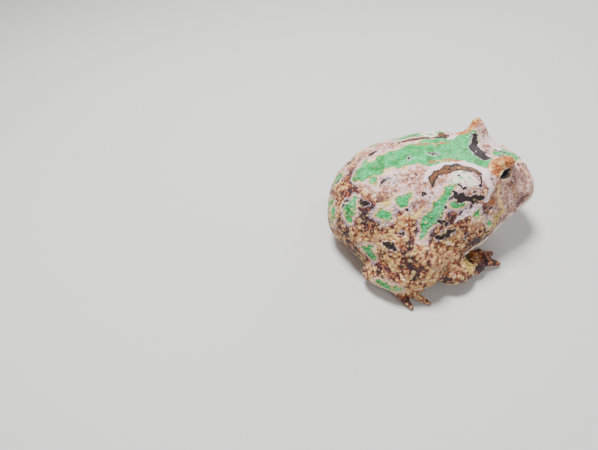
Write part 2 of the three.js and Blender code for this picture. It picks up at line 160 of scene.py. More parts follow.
# %% [markdown]
# ## Tools for sculpting in code
# Sculpting by hand moves points with a brush. In code, numpy moves all points at once. It needs an array of
# places, an array of directions that point out of the skin, and a weight from 0 to 1 for each point. The two
# sides of the frog are alike, so places are often asked for as if they all lay on its right side.

# %% Read and write the skin's points
mesh = skin.data
count = len(mesh.vertices)


def read_points():
    flat = np.empty(count * 3)
    mesh.vertices.foreach_get("co", flat)
    return flat.reshape(-1, 3) / MM


def write_points():
    mesh.vertices.foreach_set("co", (points * MM).ravel())
    mesh.update()


def outward():
    """The directions that point out of the skin, after its points were moved."""
    write_points()
    flat = np.empty(count * 3)
    mesh.vertex_normals.foreach_get("vector", flat)
    return flat.reshape(-1, 3)


def on_right_side():
    """All points, those of the left side mirrored to the right one."""
    return np.column_stack([points[:, 0], -np.abs(points[:, 1]), points[:, 2]])


points = read_points()
print("ready to sculpt", count, "points")

# %% [markdown]
# ## Three brushes
# Smoothing moves each point towards the middle of its neighbours. A rise is a soft step from 0 to 1, and a
# bump is a soft hill round a distance of 0. Nearly every form below is a sum of rises and bumps.

# %% Write the brushes
edges = np.empty(len(mesh.edges) * 2, dtype=np.int64)
mesh.edges.foreach_get("vertices", edges)
edges = edges.reshape(-1, 2)
neighbours = np.bincount(edges.ravel(), minlength=count).astype(float)
PULL = 0.6  # the share of the way to the neighbours' middle that one round goes


def smoothed(values, rounds, weight=1.0):
    """Each value moves towards the mean of its neighbours, again and again."""
    values = values.copy()
    for _ in range(rounds):
        mean = np.empty_like(values)
        for axis in range(values.shape[1]):
            total = np.bincount(edges[:, 0], values[edges[:, 1], axis], count)
            total += np.bincount(edges[:, 1], values[edges[:, 0], axis], count)
            mean[:, axis] = total / neighbours
        values += (mean - values) * PULL * weight
    return values


def rise(value, low, high):
    """0 at low, 1 at high, and a smooth rise between them. low may be the larger number."""
    share = np.clip((value - low) / (high - low), 0, 1)
    return share * share * (3 - 2 * share)


def bump(distance, width):
    return np.exp(-((distance / width) ** 2))


print("neighbours of a point:", int(neighbours.min()), "to", int(neighbours.max()))

# %% [markdown]
# ## Remember the parts
# The skin is one net, but a hand wants another treatment than a back. A k-d tree finds the nearest of many
# places fast. Here it holds the solids' own corners, so it tells for each point of the skin which solid lies
# nearest. Smoothing that answer gives soft borders.

# %% Find the part under each point
BORDER_ROUNDS = 6


def tree_of(places):
    """A k-d tree of places, which answers with their numbers."""
    tree = kdtree.KDTree(len(places))
    for index, place in enumerate(places):
        tree.insert(place, index)
    tree.balance()
    return tree


corners = [(vertex.co / MM, name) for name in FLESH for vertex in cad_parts[name].data.vertices]
corner_tree = tree_of([place for place, _ in corners])
nearest = [corners[corner_tree.find(place)[1]][1] for place in points]


def region(*words):
    """1 on the points whose solid's name holds one of the words, fading to 0 around them."""
    hit = np.array([[any(word in name for word in words)] for name in nearest], dtype=float)
    return smoothed(hit, BORDER_ROUNDS)[:, 0]


hands = region("hand", "foot")
limbs = region("arm", "thigh", "shank", "hand", "foot")
jaw = region("lower_jaw")
for name, weight in (("hands and feet", hands), ("limbs", limbs), ("lower jaw", jaw)):
    print(name, "cover", round(float(weight.mean()) * 100), "% of the points")

# %% [markdown]
# ## Smooth away the facets
# The CAD solids have flat facets about 4 mm across. Rounds of smoothing melt them. The body gets the full
# weight, and fingers, toes, lids and horns, which would shrink, get little. Afterwards the skin is drawn back
# by about as much as the copies were grown.

# %% Smooth the body
EYE_AT = np.array([22.29, -11.6, 38.8])
EYE_R = 4.7
HORN_FROM_EYE = [1, -2, 5]
HORN_SOFTNESS = 0.12
SMOOTHING_ROUNDS = 60
LEFT_OVER = 0.1  # the part of the growth that stays

folded = on_right_side()
near_eye = np.linalg.norm(folded - EYE_AT, axis=1)
off_horn = rise(np.linalg.norm(folded - EYE_AT - HORN_FROM_EYE, axis=1), 7, 13)
softness = (HORN_SOFTNESS + (1 - HORN_SOFTNESS) * off_horn) * (1 - 0.9 * hands)
points = smoothed(points, 3, 0.6)
points = smoothed(points, SMOOTHING_ROUNDS, softness[:, None])
points -= outward() * (GROWTH - LEFT_OVER) * (0.3 + 0.6 * softness[:, None])
print("mean softness", round(float(softness.mean()), 2))

# %% [markdown]
# ## Mouth and lips
# A horned frog's mouth is almost as wide as its body. In side view its line rises from the corner, low at the
# shoulder, to the snout. The line is a thin deep groove. Above it the upper lip is a swollen edge that
# overhangs, and below it the lower lip is a weaker one.

# %% Sculpt the mouth
MOUTH_LINE = [(3.99, 12.0), (13.49, 15.2), (27.49, 19.3), (38.49, 21.2), (52.49, 21.5)]
LINE_LEANS = 0.95  # the line is slanted, so it is nearer than the height above it
GROOVE_WIDTH = 0.38
MOUTH_FORMS = [
    # height, place above the line, width
    (0.55, 1.15, 0.75),  # upper lip
    (0.35, -1.1, 0.7),  # lower lip
    (-1.0, 0, GROOVE_WIDTH),
]

mouth_x, mouth_z = np.array(MOUTH_LINE).T
mouth_height = np.interp(points[:, 0], mouth_x, mouth_z)
above_mouth = (points[:, 2] - mouth_height) * LINE_LEANS
in_front = rise(points[:, 0], 2.5, 8)
normals = outward()
sideways = rise(np.hypot(normals[:, 0], normals[:, 1]), 0.35, 0.7)
mouth_weight = in_front * sideways
profile = sum(height * bump(above_mouth - place, width) for height, place, width in MOUTH_FORMS)
points += normals * (profile * mouth_weight)[:, None]
print("points in the groove:", int((mouth_weight * bump(above_mouth, GROOVE_WIDTH) > 0.5).sum()))

# %% [markdown]
# ## Eyelids
# Near each eye the skin is treated as a shell round the eyeball. Inside an almond outline it is pushed below
# the eyeball's surface, and outside it is kept just above it, which makes lids of even thickness. The almond
# lies in a plane of its own: looks points out of the eye, along runs towards the snout, and up is across it.

# %% Sculpt the lids
EYE_LOOKS = np.array([0.3, -0.8, 0.52])
EYE_TILT = 0.35
ALMOND = {"half": 4.5, "top": 2.5, "bottom": -2.5}
LID_ABOVE = 0.55  # how far a lid's surface is above the eyeball, at the least
EDGE_ABOVE = 0.9  # and at the most, at the opening
SUNK_BELOW = 0.8  # how far the skin dives under the eyeball inside the opening
LID_REACH = 9

looks = EYE_LOOKS / np.linalg.norm(EYE_LOOKS)
eye_up = np.array([0, 0, 1]) - looks * looks[2]
eye_up /= np.linalg.norm(eye_up)
eye_along = np.cross(eye_up, looks)
eye_up = eye_up * math.cos(EYE_TILT) - eye_along * math.sin(EYE_TILT)
eye_along = np.cross(eye_up, looks)


def almond_edge(along, which):
    return ALMOND[which] * np.clip(1 - (along / ALMOND["half"]) ** 2, 0, 1)


def shape_lids():
    """How far each point moves as a lid, and how deep inside the almond it is."""
    from_eye = folded - EYE_AT
    radius = np.linalg.norm(from_eye, axis=1)
    along, up, out = from_eye @ eye_along, from_eye @ eye_up, from_eye @ looks
    facing = rise(out / np.maximum(radius, 0.1), 0.0, 0.3) * (radius < LID_REACH)
    top, bottom = almond_edge(along, "top"), almond_edge(along, "bottom")
    inside = np.where(np.abs(along) < ALMOND["half"], np.minimum(top - up, up - bottom), -1)
    width = rise(np.abs(along), ALMOND["half"] + 2, ALMOND["half"] - 1)
    lid = np.maximum(radius, EYE_R + LID_ABOVE)
    lid += width * (0.2 * bump(up - top - 0.9, 0.8) + 0.2 * bump(bottom - up - 0.8, 0.8))
    slope = rise(up - top, 4.2, 0.4) * width  # the lid over the opening is thin, however thick the horn is
    lid = lid * (1 - slope) + np.minimum(lid, EYE_R + EDGE_ABOVE) * slope
    under = np.minimum(radius, EYE_R - SUNK_BELOW)
    share = rise(inside, -0.1, 0.3)
    wanted = lid * (1 - share) + under * share
    change = (wanted - radius) * facing
    return from_eye / np.maximum(radius, 0.1)[:, None] * change[:, None], inside * facing


folded = on_right_side()
lid_move, lid_inside = shape_lids()
mirror = np.column_stack([np.ones(count), -np.sign(points[:, 1]), np.ones(count)])
points += lid_move * mirror
print("points under the eyeballs:", int((lid_inside > 0).sum()))

# %% [markdown]
# ## Nostrils, eardrums and folds
# Small forms are rings and pits round a place on the skin, and folds are grooves along a path. Each is
# written once for the right side, and both sides follow it. A path is a few corners. Cutting its corners
# twice makes it a soft curve, and the distance to it is the least of those to its straight stretches.

# %% Measure the distance to a path
CORNER_CUTS = 2


def rounded(path):
    """Cuts the corners of a path, so that its curve is soft."""
    path = np.array(path, dtype=float)
    for _ in range(CORNER_CUTS if len(path) > 2 else 0):
        quarter = path[:-1] * 0.75 + path[1:] * 0.25
        three = path[:-1] * 0.25 + path[1:] * 0.75
        path = np.vstack([path[:1], np.stack([quarter, three], 1).reshape(-1, 3), path[-1:]])
    return path


def stretches(path, places):
    """For each straight stretch of a path, the distances to it and the shares of the way along it."""
    for start, end in zip(path[:-1], path[1:]):
        along = end - start
        share = np.clip((places - start) @ along / max(along @ along, 1e-6), 0, 1)
        yield np.linalg.norm(places - start - share[:, None] * along, axis=1), share


def distance_to_path(path, places):
    return np.min([away for away, _ in stretches(path, places)], axis=0)


print("a path of 4 corners becomes", len(rounded([(0, 0, 0), (1, 0, 0), (1, 1, 0), (2, 1, 0)])), "points")

# %% Sculpt the small forms of the head and flanks
NOSTRIL_AT = (35.1, -7.0, 36.9)
NOSTRIL_R, NOSTRIL_RIM = 0.85, 1.6
EARDRUM_AT = (15.4, -21.9, 31.8)
EARDRUM_R = 3.0
FOLDS = [
    # depth, width, path
    (0.7, 1.1, [(16.8, -17.6, 37.5), (11.5, -21.5, 34.6), (8, -26, 29.5), (4.5, -30, 23)]),  # past the ear
    (0.9, 1.3, [(4, -30.2, 13), (-1, -31.5, 16), (-5, -32.5, 21)]),  # from the mouth's corner
    (0.6, 1.0, [(0, -31, 22), (-6, -30.5, 26), (-12, -29.5, 28)]),  # above the arm
    (0.5, 0.9, [(-22, -29.5, 26), (-30, -25, 27), (-37, -17, 26)]),  # above the thigh
    (0.45, 0.8, [(17.3, -15.2, 39.5), (14.6, -14.4, 40.4), (12.6, -12.6, 41.4)]),  # behind the lid
    (0.35, 0.7, [(27, -12.5, 39.5), (31.5, -9.5, 37.8), (34.5, -7.6, 36.9)]),  # from the eye to the nostril
]
RIDGES = [
    # height, width, path
    (0.5, 1.0, [(27.5, -8.5, 40.2), (33, -6.2, 38.2), (38.5, -3.6, 36), (42.5, -2.8, 32)]),  # on the snout
    (0.5, 1.2, [(18, -18.6, 36), (20.6, -20.6, 31), (23.5, -22, 25.5)]),  # behind the eye
]


def small_forms():
    """How far each point moves outwards."""
    moved = np.zeros(count)
    nose = np.linalg.norm(folded - NOSTRIL_AT, axis=1)
    moved += 0.5 * bump(nose - NOSTRIL_RIM, 0.6) - 1.2 * bump(nose, NOSTRIL_R)
    drum = np.linalg.norm(folded - EARDRUM_AT, axis=1)
    moved += 0.4 * bump(drum - EARDRUM_R, 0.55) - 0.35 * rise(drum, 2.8, 2.2)
    for depth, width, path in FOLDS:
        away = distance_to_path(rounded(path), folded)
        moved += depth * (0.45 * bump(away - 1.6 * width, width) - bump(away, 0.6 * width))
    for height, width, path in RIDGES:
        moved += height * bump(distance_to_path(rounded(path), folded), width)
    return moved


folded = on_right_side()
points += outward() * small_forms()[:, None]
print("folds:", len(FOLDS), "ridges:", len(RIDGES))

# %% [markdown]
# ## Warts
# The flanks and limbs carry about two thousand low warts. They are few on the head and back, and almost
# absent on the belly, the hands and the lids. Each wart is a seeded place on the skin, kept with the chance
# that its region gives it. A k-d tree finds the points near it quickly, and they rise in a blunt cone.

# %% Scatter the warts
WART_COUNT = 2200
WART_SEED = 11
SMALL_WARTS, LARGE_WARTS = (0.8, 1.15), (1.2, 1.6)  # radii
SMALL_SHARE = 0.9
STEEP = (0.3, 0.55)  # height for each millimetre of radius
FLOOR = 0.02  # the lowest that a point may lie

dice = random.Random(WART_SEED)
normals = outward()
x, _, z = points.T
flank = rise(z, 38, 29) * rise(z, 3.5, 8) * rise(x, 22, 10)
belly = rise(normals[:, 2], -0.35, -0.65) * rise(z, 12, 7)
cheek = rise(x, 12, 18) * rise(z, 18, 24)
chance = np.clip(0.05 + flank - 0.85 * belly + 0.03 * cheek, 0.02, 1)
chance *= rise(near_eye, 6.5, 9) * (1 - mouth_weight * bump(above_mouth, 2.6))
chance *= 1 - 0.93 * hands

skin_tree = tree_of(points)
wart = np.zeros(count)
made = 0
while made < WART_COUNT:
    index = dice.randrange(count)
    if dice.random() > chance[index]:
        continue
    radii = SMALL_WARTS if dice.random() < SMALL_SHARE else LARGE_WARTS
    wide = dice.uniform(*radii)
    high = wide * dice.uniform(*STEEP)
    for _, near, away in skin_tree.find_range(points[index], wide):
        wart[near] = max(wart[near], high * (1 - (away / wide) ** 2) ** 1.3)
    made += 1
points += normals * wart[:, None]
points[:, 2] = np.maximum(points[:, 2], FLOOR)
write_points()
print("warts:", made, "highest", round(float(wart.max()), 2), "mm")

# %% [markdown]
# ## Markings as distances
# The markings are strokes of a brush. Each stroke is a short path, laid on the skin, and a half width, so a
# point's distance to the stroke's edge says if it is inside. The material reads that distance and makes the
# edge ragged with noise, which keeps it sharp at any size. Most strokes are on both sides of the frog, and
# some on one. Every colour has its own field, because a later colour lies on top. One dark stroke is painted
# shade, at the rear corner of each lid.

# %% List the strokes
RIGHT, LEFT = -1, 1  # a stroke with one of these is only on that side of the frog
STROKES = {
    # for each colour: half width, path and perhaps a side
    "green": [
        (5.4, [(-34, 0, 42), (-24, 0, 45), (-10, 0, 47), (5, 0, 45), (13, 0, 43)]),
        (4.6, [(-8, -4.5, 46), (2, -5.5, 45), (10, -6.5, 43), (16, -9, 42)]),
        (3.4, [(13, 0, 43), (17, -4, 43), (19.5, -8, 44)]),
        (3.2, [(9, 0, 44), (13, -6, 42.5), (16, -9, 42)]),
        (3.0, [(27.5, 0, 39.5), (34, 0, 37.5), (39, 0, 35)]),
        (1.5, [(29.5, -4, 39.8), (33, -3.4, 38.4)]),
        (2.5, [(-12, -15.5, 43), (-2, -17, 44), (8, -15.5, 43)], LEFT),
        (1.9, [(0.9, -17.1, 41), (-5.6, -20.8, 39.6), (-8.7, -24.9, 36.1), (-13.5, -27.3, 32.8),
               (-16.7, -30.3, 28.3)]),
        (2.3, [(-22.9, -19.7, 38.1), (-19.2, -19.1, 39.8)]),
        (2.4, [(-30.2, -19.5, 34), (-27.7, -21.9, 33.3)]),
        (1.6, [(-30.6, -6.5, 41.5)]),
        (1.7, [(-2.9, -23.6, 37), (1.2, -22.8, 36.6)]),
        (1.6, [(7.1, -23.7, 33.3), (8.3, -25.6, 31)]),
        (1.2, [(13.8, -26.7, 26.3)]),
        (2.6, [(-38.5, -9, 33), (-41, -11, 27)]),
        (2.0, [(-44, -2, 24), (-45, -4, 18)]),
        (2.2, [(-36, -22, 20), (-33, -25, 16)]),
        (1.8, [(-31, -33, 8.5), (-26, -37, 9.5)]),
    ],
    "pink": [
        (1.6, [(-10.8, -14.1, 43.7), (-7.2, -9.9, 45), (-0.9, -8.5, 44.8), (7, -7.5, 43.5),
               (11.3, -9.5, 41.9), (14.2, -12.2, 40.6), (15.3, -15.9, 38.6), (14.8, -18.4, 36),
               (11.2, -20.6, 34.5)], RIGHT),
        (1.9, [(1, -13.5, 42.6), (6, -15, 40.6), (9, -17, 38.6)], RIGHT),
        (1.5, [(9, -10, 44), (13, -12, 42)], LEFT),
        (2.0, [(20.6, -4.5, 43), (18.8, -1.5, 42), (18.4, 0, 41.6)]),
        (2.6, [(25.5, -8.3, 41.6), (28.5, -5.2, 39.5), (31, -3.5, 38.4)]),
        (0.08, [(-14, 0, 46.5), (-9, 0, 47), (-5, 0, 46)]),
        (1.2, [(10, -22, 33.5), (4, -25, 33), (-2, -27, 31)]),
    ],
    "brown": [
        (1.75, [(-8.6, -16.6, 42.5), (-8, -13.6, 43.9), (-3.9, -11.3, 44.4), (3.4, -10.2, 43.5),
                (9.6, -11.3, 41.7), (11.6, -14, 40)], RIGHT),
        (1.0, [(-14, -11, 45), (-2, -12, 46), (9, -10.5, 44.5)], LEFT),
        (1.9, [(5, -13.5, 44), (10, -12.5, 43)], LEFT),
    ],
    "white": [
        (2.5, [(-1.3, -16, 42), (2, -14.8, 42.2), (5, -15, 41.1), (6, -17, 39.4)]),
    ],
    "orange": [
        (3.4, [(17.6, -13, 42.4), (20.2, -14.2, 45.6), (22.8, -15.2, 47.6)]),
        (2.2, [(24.5, -15.5, 48.6), (25, -14, 46.5)]),
        (0.8, [(30.1, -16.2, 31.5)]),
        (1.8, [(15.4, -21.5, 31.8)]),
        (0.55, [(-8.1, -6.4, 46.4), (1, -5.9, 46), (8, -6.4, 44.4)]),
    ],
    "dark": [
        (2.2, [(19.8, -6.8, 43.6), (18.2, -4.4, 42.6), (18.8, -1.2, 41.8), (21.4, 0, 41)]),
        (0.7, [(2.6, -14.9, 41.9)]),
        (0.75, [(1.8, -17.5, 40.6), (3.9, -18.5, 39.2)]),
        (0.85, [(11.4, -14.5, 39.6), (11, -17.3, 38), (7.5, -19, 37.8)]),
        (1.5, [(-3.8, -21.3, 39), (1.3, -20.5, 38.4), (5.3, -20.9, 36.7), (10.2, -20.4, 35.1)]),
        (1.2, [(-5, -24.2, 36.7)]),
        (0.9, [(-20.1, -22.6, 36.6)]),
        (1.5, [(-8.8, -26.8, 33.7), (-4.7, -28.6, 30.1)]),
        (1.6, [(-11.4, -30.5, 26.5), (-7.6, -29.9, 27.6), (-2.1, -29.7, 26.6)]),
        (1.7, [(3.4, -30.2, 24.4)]),
        (1.3, [(-23.4, -26.8, 29.5)]),
        (1.9, [(-30, -27.1, 24.8), (-27.4, -30.6, 24.6)]),
        (1.1, [(-12.6, -18, 41.8), (-9.3, -22.6, 38.6)]),
        (0.45, [(13.3, -23.2, 30.7), (16.4, -22.9, 29.1), (19.7, -21.4, 29.5)]),
        (0.35, [(25.6, -3.2, 40.6), (29.9, -1.6, 39), (33.5, -1.4, 37.6)]),
        (0.55, [(24.4, -9.9, 45.6)]),
        # painted shade: the dark spot at the rear corner of each horned lid
        (0.8, [(17.7, -16.2, 40)]),
        (0.59, [(-4.4, -0.5, 46.6), (-3.2, -2.2, 46.5), (-2.4, -0.8, 46.5), (-0.8, -2.6, 46.4)], RIGHT),
        (0.59, [(-14.2, -2.6, 46.8), (-13, -0.8, 46.8)], RIGHT),
        (1.0, [(-28, -9.5, 43), (-22, -10.5, 44)]),
        (1.3, [(-34, -15, 36), (-36, -12, 36)]),
        (0.9, [(-40, -6, 33), (-42.5, -8, 28)]),
    ],
    "cream": [
        (1.3, [(-30.5, -16.9, 36), (-25.7, -18.9, 37.4), (-22.4, -16, 40.7)]),
        (1.4, [(-19.6, -24.6, 34.7), (-16.8, -23.8, 36.4), (-14.1, -23.5, 37.3)]),
        (0.9, [(18, -17.6, 38), (20, -19.4, 34.9), (21.3, -21.2, 29.5), (24.6, -21.8, 23.6)]),
        (1.0, [(34, -5.6, 37.9), (38.5, -3.6, 36.1), (41.5, -3.3, 33.2), (44, -3, 30)]),
        (1.2, [(-9, -6.2, 46), (0, -5.8, 45.8), (8, -6.4, 44.2)]),
        (1.0, [(-16, -8.2, 46), (-4, -8.7, 46.5), (8, -8.2, 45)], LEFT),
    ],
    "red": [
        (3.4, [(-3.9, -26, 34.2), (3.3, -28.4, 28.5), (9.5, -28.4, 26.4)]),
        (2.6, [(-25, -29.5, 26.9), (-20.8, -33.5, 26.2)]),
        (4.0, [(-16.3, -37.3, 23.2), (-7, -36.2, 15.8), (1.7, -33.4, 15)]),
        (2.6, [(-36.2, -21.7, 23.8), (-31.7, -25.3, 24.6)]),
        (2.0, [(12.4, -20.2, 34.5), (15.8, -17.9, 36.6)]),
        (3.0, [(38, -15, 25), (33, -19, 23)]),
    ],
    "olive": [
        (2.0, [(24, -21.6, 24.8), (18.8, -25.1, 23.4), (13.3, -28.7, 22.4)]),
        (4.0, [(2.5, -35, 11), (6.5, -34.5, 7)]),
    ],
}
print("strokes:", {colour: len(strokes) for colour, strokes in STROKES.items()})

# %% [markdown]
# ## From strokes to fields
# A stroke is widest in its middle, as a leaf is. Before its distance is measured, every place on the skin is
# pushed about by slow noise, so that the stroke strays from its path as a hand does. Fine lines don't stray.

# %% Lay down the strokes
FAR = 6.0  # a field stops here, where no edge is near
TIP, SWELL = 0.62, 0.5  # a stroke's width at its ends, and what is added in the middle
FINE = 0.6  # strokes with a smaller half width don't stray
WAVER = 2.1  # how far a stroke strays from its path
WAVER_SIZE = 4.5
NOISE_SEED = 3
CALM = {"brown": 0.4, "pink": 0.4}  # colours that stray less


def stroke_distance(half, path, places):
    """The distance to the edge of a stroke, below 0 inside it."""
    path = np.array([skin_tree.find(place)[0] for place in rounded(path)])
    if len(path) == 1:
        return np.linalg.norm(places - path[0], axis=1) - half
    lengths = np.concatenate([[0], np.cumsum(np.linalg.norm(np.diff(path, axis=0), axis=1))])
    best = np.full(len(places), FAR)
    for (away, share), before, after in zip(stretches(path, places), lengths[:-1], lengths[1:]):
        travelled = (before + share * (after - before)) / lengths[-1]
        best = np.minimum(best, away - half * (TIP + SWELL * np.sin(math.pi * travelled)))
    return best


skin_tree = tree_of(points)
folded = on_right_side()
noise.seed_set(NOISE_SEED)
waver = np.array([noise.noise_vector(Vector(p) / WAVER_SIZE) for p in points])
fields = {}
for colour, strokes in STROKES.items():
    field = np.full(count, FAR)
    for half, path, *side in strokes:
        straying = 0 if half < FINE else CALM.get(colour, 1)
        away = stroke_distance(half, path, folded + waver * WAVER * straying)
        if side:
            away[np.sign(points[:, 1]) != side[0]] = FAR
        field = np.minimum(field, away)
    fields[colour] = field
    print(colour, "covers", round(float((field < 0).mean()) * 100, 1), "% of the points")

# %% [markdown]
# ## Regions of the skin
# Besides the strokes, broad regions change the ground colour: a pinkish face, a mottled flank, a pale belly
# and throat, and a white edge on the upper lip. They are stored beside the strokes, as numbers on each point
# that the material reads by name.

# %% Store the fields on the skin
LIP_EDGE = 1.7  # the middle of the white edge is this far above the mouth's line

sides = rise(z, 42, 36) * rise(x, 22, 12)
fields["flank"] = np.clip(np.maximum(sides, limbs) * (1 - belly), 0, 1)
fields["belly"] = belly
fields["face"] = rise(x, 12, 20) * rise(z, 17, 22)
fields["lip"] = np.where(mouth_weight > 0.15, np.abs(above_mouth - LIP_EDGE), FAR)
# the distance to the mouth's line, where the material paints shade into the groove
fields["groove"] = np.where(mouth_weight > 0.2, np.abs(above_mouth), FAR)
fields["throat"] = rise(above_mouth, 0, -1.5) * jaw
fields["wart"] = wart
# the distance to the nostril, where the material paints shade into its pit
fields["nose"] = np.linalg.norm(folded - NOSTRIL_AT, axis=1)
for name, field in fields.items():
    layer = mesh.attributes.new(name, "FLOAT", "POINT")
    layer.data.foreach_set("value", np.clip(field, -FAR, FAR).astype(np.float32))
for polygon in mesh.polygons:
    polygon.use_smooth = True
print("fields:", ", ".join(fields))

# %% [markdown]
# ## Building materials in code
# A material is a graph of nodes. This small helper makes nodes and wires in one line each, so that the
# recipes below read like sentences. All noise and cells are laid out in the object's own coordinates.

# %% A helper for node graphs
def linear(red, green, blue):
    """A colour as seen on a screen, 0 to 255, as the linear numbers that a shader wants."""
    shares = [c / 255 for c in (red, green, blue)]
    return tuple(c / 12.92 if c < 0.04045 else ((c + 0.055) / 1.055) ** 2.4 for c in shares) + (1,)


class Recipe:
    """A new material and short calls for its nodes."""

    def __init__(self, name):
        self.material = bpy.data.materials.new(name)
        self.material.use_nodes = True
        self.tree = self.material.node_tree
        self.shader = self.tree.nodes["Principled BSDF"]
        self.place = self.node("ShaderNodeTexCoord").outputs["Object"]

    def node(self, kind):
        return self.tree.nodes.new(kind)

    def feed(self, socket, value):
        if isinstance(value, bpy.types.NodeSocket):
            self.tree.links.new(value, socket)
        else:
            socket.default_value = value

    def field(self, name):
        node = self.node("ShaderNodeAttribute")
        node.attribute_name = name
        return node.outputs["Fac"]

    def math(self, how, first, second=0.0):
        node = self.node("ShaderNodeMath")
        node.operation = how
        self.feed(node.inputs[0], first)
        self.feed(node.inputs[1], second)
        return node.outputs[0]

    def times(self, first, second):
        return self.math("MULTIPLY", first, second)

    def plus(self, first, second):
        return self.math("ADD", first, second)

    def swing(self, noise, width):
        """Noise moved to swing round 0 instead of 0.5, and made wider."""
        return self.times(self.math("SUBTRACT", noise, 0.5), width)

    def noise(self, size, detail, rough=0.6, shift=0.0):
        """Noise from 0 to 1 whose blobs are about size millimetres across."""
        mapping = self.node("ShaderNodeMapping")
        self.feed(mapping.inputs["Vector"], self.place)
        mapping.inputs["Location"].default_value = (shift, shift * 0.7, shift * 1.3)
        node = self.node("ShaderNodeTexNoise")
        self.feed(node.inputs["Vector"], mapping.outputs[0])
        node.inputs["Scale"].default_value = 1 / (size * MM)
        node.inputs["Detail"].default_value = detail
        node.inputs["Roughness"].default_value = rough
        return node.outputs[0]

    def cells(self, size):
        """Cells about size millimetres across: the distance from each centre, and a random number."""
        node = self.node("ShaderNodeTexVoronoi")
        self.feed(node.inputs["Vector"], self.place)
        node.inputs["Scale"].default_value = 1 / (size * MM)
        split = self.node("ShaderNodeSeparateColor")
        self.feed(split.inputs[0], node.outputs["Color"])
        return node.outputs["Distance"], split.outputs[0]

    def step(self, value, low, high):
        """0 at low, 1 at high, and a smooth rise between them. low may be the larger number."""
        node = self.node("ShaderNodeMapRange")
        node.interpolation_type = "SMOOTHSTEP"
        self.feed(node.inputs["Value"], value)
        node.inputs["From Min"].default_value = min(low, high)
        node.inputs["From Max"].default_value = max(low, high)
        node.inputs["To Min"].default_value = 0.0 if low < high else 1.0
        node.inputs["To Max"].default_value = 1.0 if low < high else 0.0
        return node.outputs[0]

    def mix(self, share, first, second):
        node = self.node("ShaderNodeMix")
        node.data_type = "RGBA"
        self.feed(node.inputs["Factor"], share)
        colours = [socket for socket in node.inputs if socket.type == "RGBA"]
        self.feed(colours[0], first)
        self.feed(colours[1], second)
        return [socket for socket in node.outputs if socket.type == "RGBA"][0]

    def bumps(self, height, distance, strength, before=None):
        """Bends the light as if the surface rose by distance millimetres where height is 1."""
        node = self.node("ShaderNodeBump")
        node.inputs["Distance"].default_value = distance * MM
        node.inputs["Strength"].default_value = strength
        self.feed(node.inputs["Height"], height)
        if before is not None:
            self.feed(node.inputs["Normal"], before)
        return node.outputs[0]

    def settle(self, **values):
        """Plain numbers for the shader's sockets, whose names have _ for each space."""
        for name, value in values.items():
            self.shader.inputs[name.replace("_", " ")].default_value = value


print("colour check: middle grey is", round(linear(128, 128, 128)[0], 3))

# %% [markdown]
# ## The skin's colours
# The colours are named once, and so are the noises that all later cells share. Coarse and fine noise together
# make the strokes' edges wander. Blotches and tones vary the colours in large and small patches. Three sizes
# of cells give granules, fine grains like pepper, and spots.

# %% Name the colours and the noises
MINT = linear(34, 180, 100)
LEAF = linear(26, 126, 46)
PALE_MINT = linear(92, 206, 144)
CREAM = linear(234, 196, 130)
YELLOW = linear(214, 178, 92)
PINK = linear(238, 208, 216)
ROSE = linear(176, 128, 116)
DUSK = linear(146, 102, 92)
BLUSH = linear(236, 200, 184)
RED_BROWN = linear(126, 58, 38)
PURPLE_BROWN = linear(58, 38, 44)
DARK = linear(34, 24, 24)
TAN = linear(182, 128, 94)
OLIVE = linear(92, 74, 36)
ORANGE = linear(206, 128, 66)
BONE = linear(236, 224, 208)
BELLY = linear(222, 204, 174)

WANDER_COARSE, WANDER_FINE = 4.6, 2.0  # how wide the noises swing a stroke's edge, in millimetres
GRANULE, PEPPER, SPOT = 1.25, 0.62, 1.9  # sizes of the cells

r = Recipe("moist_skin")
coarse = r.noise(2.6, 4, 0.65)
fine = r.noise(0.7, 3, 0.6, 0.31)
wander = r.plus(r.swing(coarse, WANDER_COARSE), r.swing(fine, WANDER_FINE))
blotch = r.noise(4.6, 4, 0.6, 0.11)
patch = r.noise(8.0, 3, 0.6, 0.43)
tones = r.plus(r.noise(2.0, 5, 0.7, 0.77), r.swing(patch, 0.7))
granule, granule_kind = r.cells(GRANULE)
pepper, pepper_kind = r.cells(PEPPER)
spot, spot_kind = r.cells(SPOT)
dark_grain = r.times(r.step(pepper_kind, 0.62, 0.66), r.step(pepper, 0.66, 0.45))
pale_grain = r.times(r.step(pepper_kind, 0.26, 0.22), r.step(pepper, 0.6, 0.35))


def ragged(name, roughness=1.0):
    """A field's distance, swung by the wandering noise."""
    return r.plus(r.field(name), r.times(wander, roughness))


def inside(distance, edge=0.0, soft=0.14):
    """1 where a distance is below edge."""
    return r.step(distance, edge + soft, edge - soft)


print("noises and cells:", len(r.tree.nodes), "nodes")

# %% [markdown]
# ## The ground colour
# The back and the face are rose, tan and pink, peppered with fine dark and pale grains. The flanks and limbs
# have four tones in patches, with granules that grow where the patches are light. Belly and throat are pale.

# %% Mix the ground
ground = r.mix(r.step(tones, 0.4, 0.5), ROSE, TAN)
ground = r.mix(r.step(tones, 0.52, 0.62), ground, PINK)
speck = r.mix(r.step(patch, 0.44, 0.56), PURPLE_BROWN, ORANGE)
peppered = r.mix(dark_grain, r.mix(pale_grain, ground, PINK), speck)
ground = r.mix(0.8, ground, peppered)
face_tone = r.mix(r.step(tones, 0.36, 0.46), DUSK, ROSE)
face_tone = r.mix(r.step(tones, 0.48, 0.6), face_tone, BLUSH)
ground = r.mix(r.times(r.field("face"), 0.72), ground, r.mix(dark_grain, face_tone, speck))
spot_size = r.plus(spot, r.times(fine, 0.4))
spot_share = r.times(r.step(spot_kind, 0.7, 0.72), r.step(spot_size, 0.62, 0.5))
ground = r.mix(r.times(spot_share, 0.8), ground, PURPLE_BROWN)

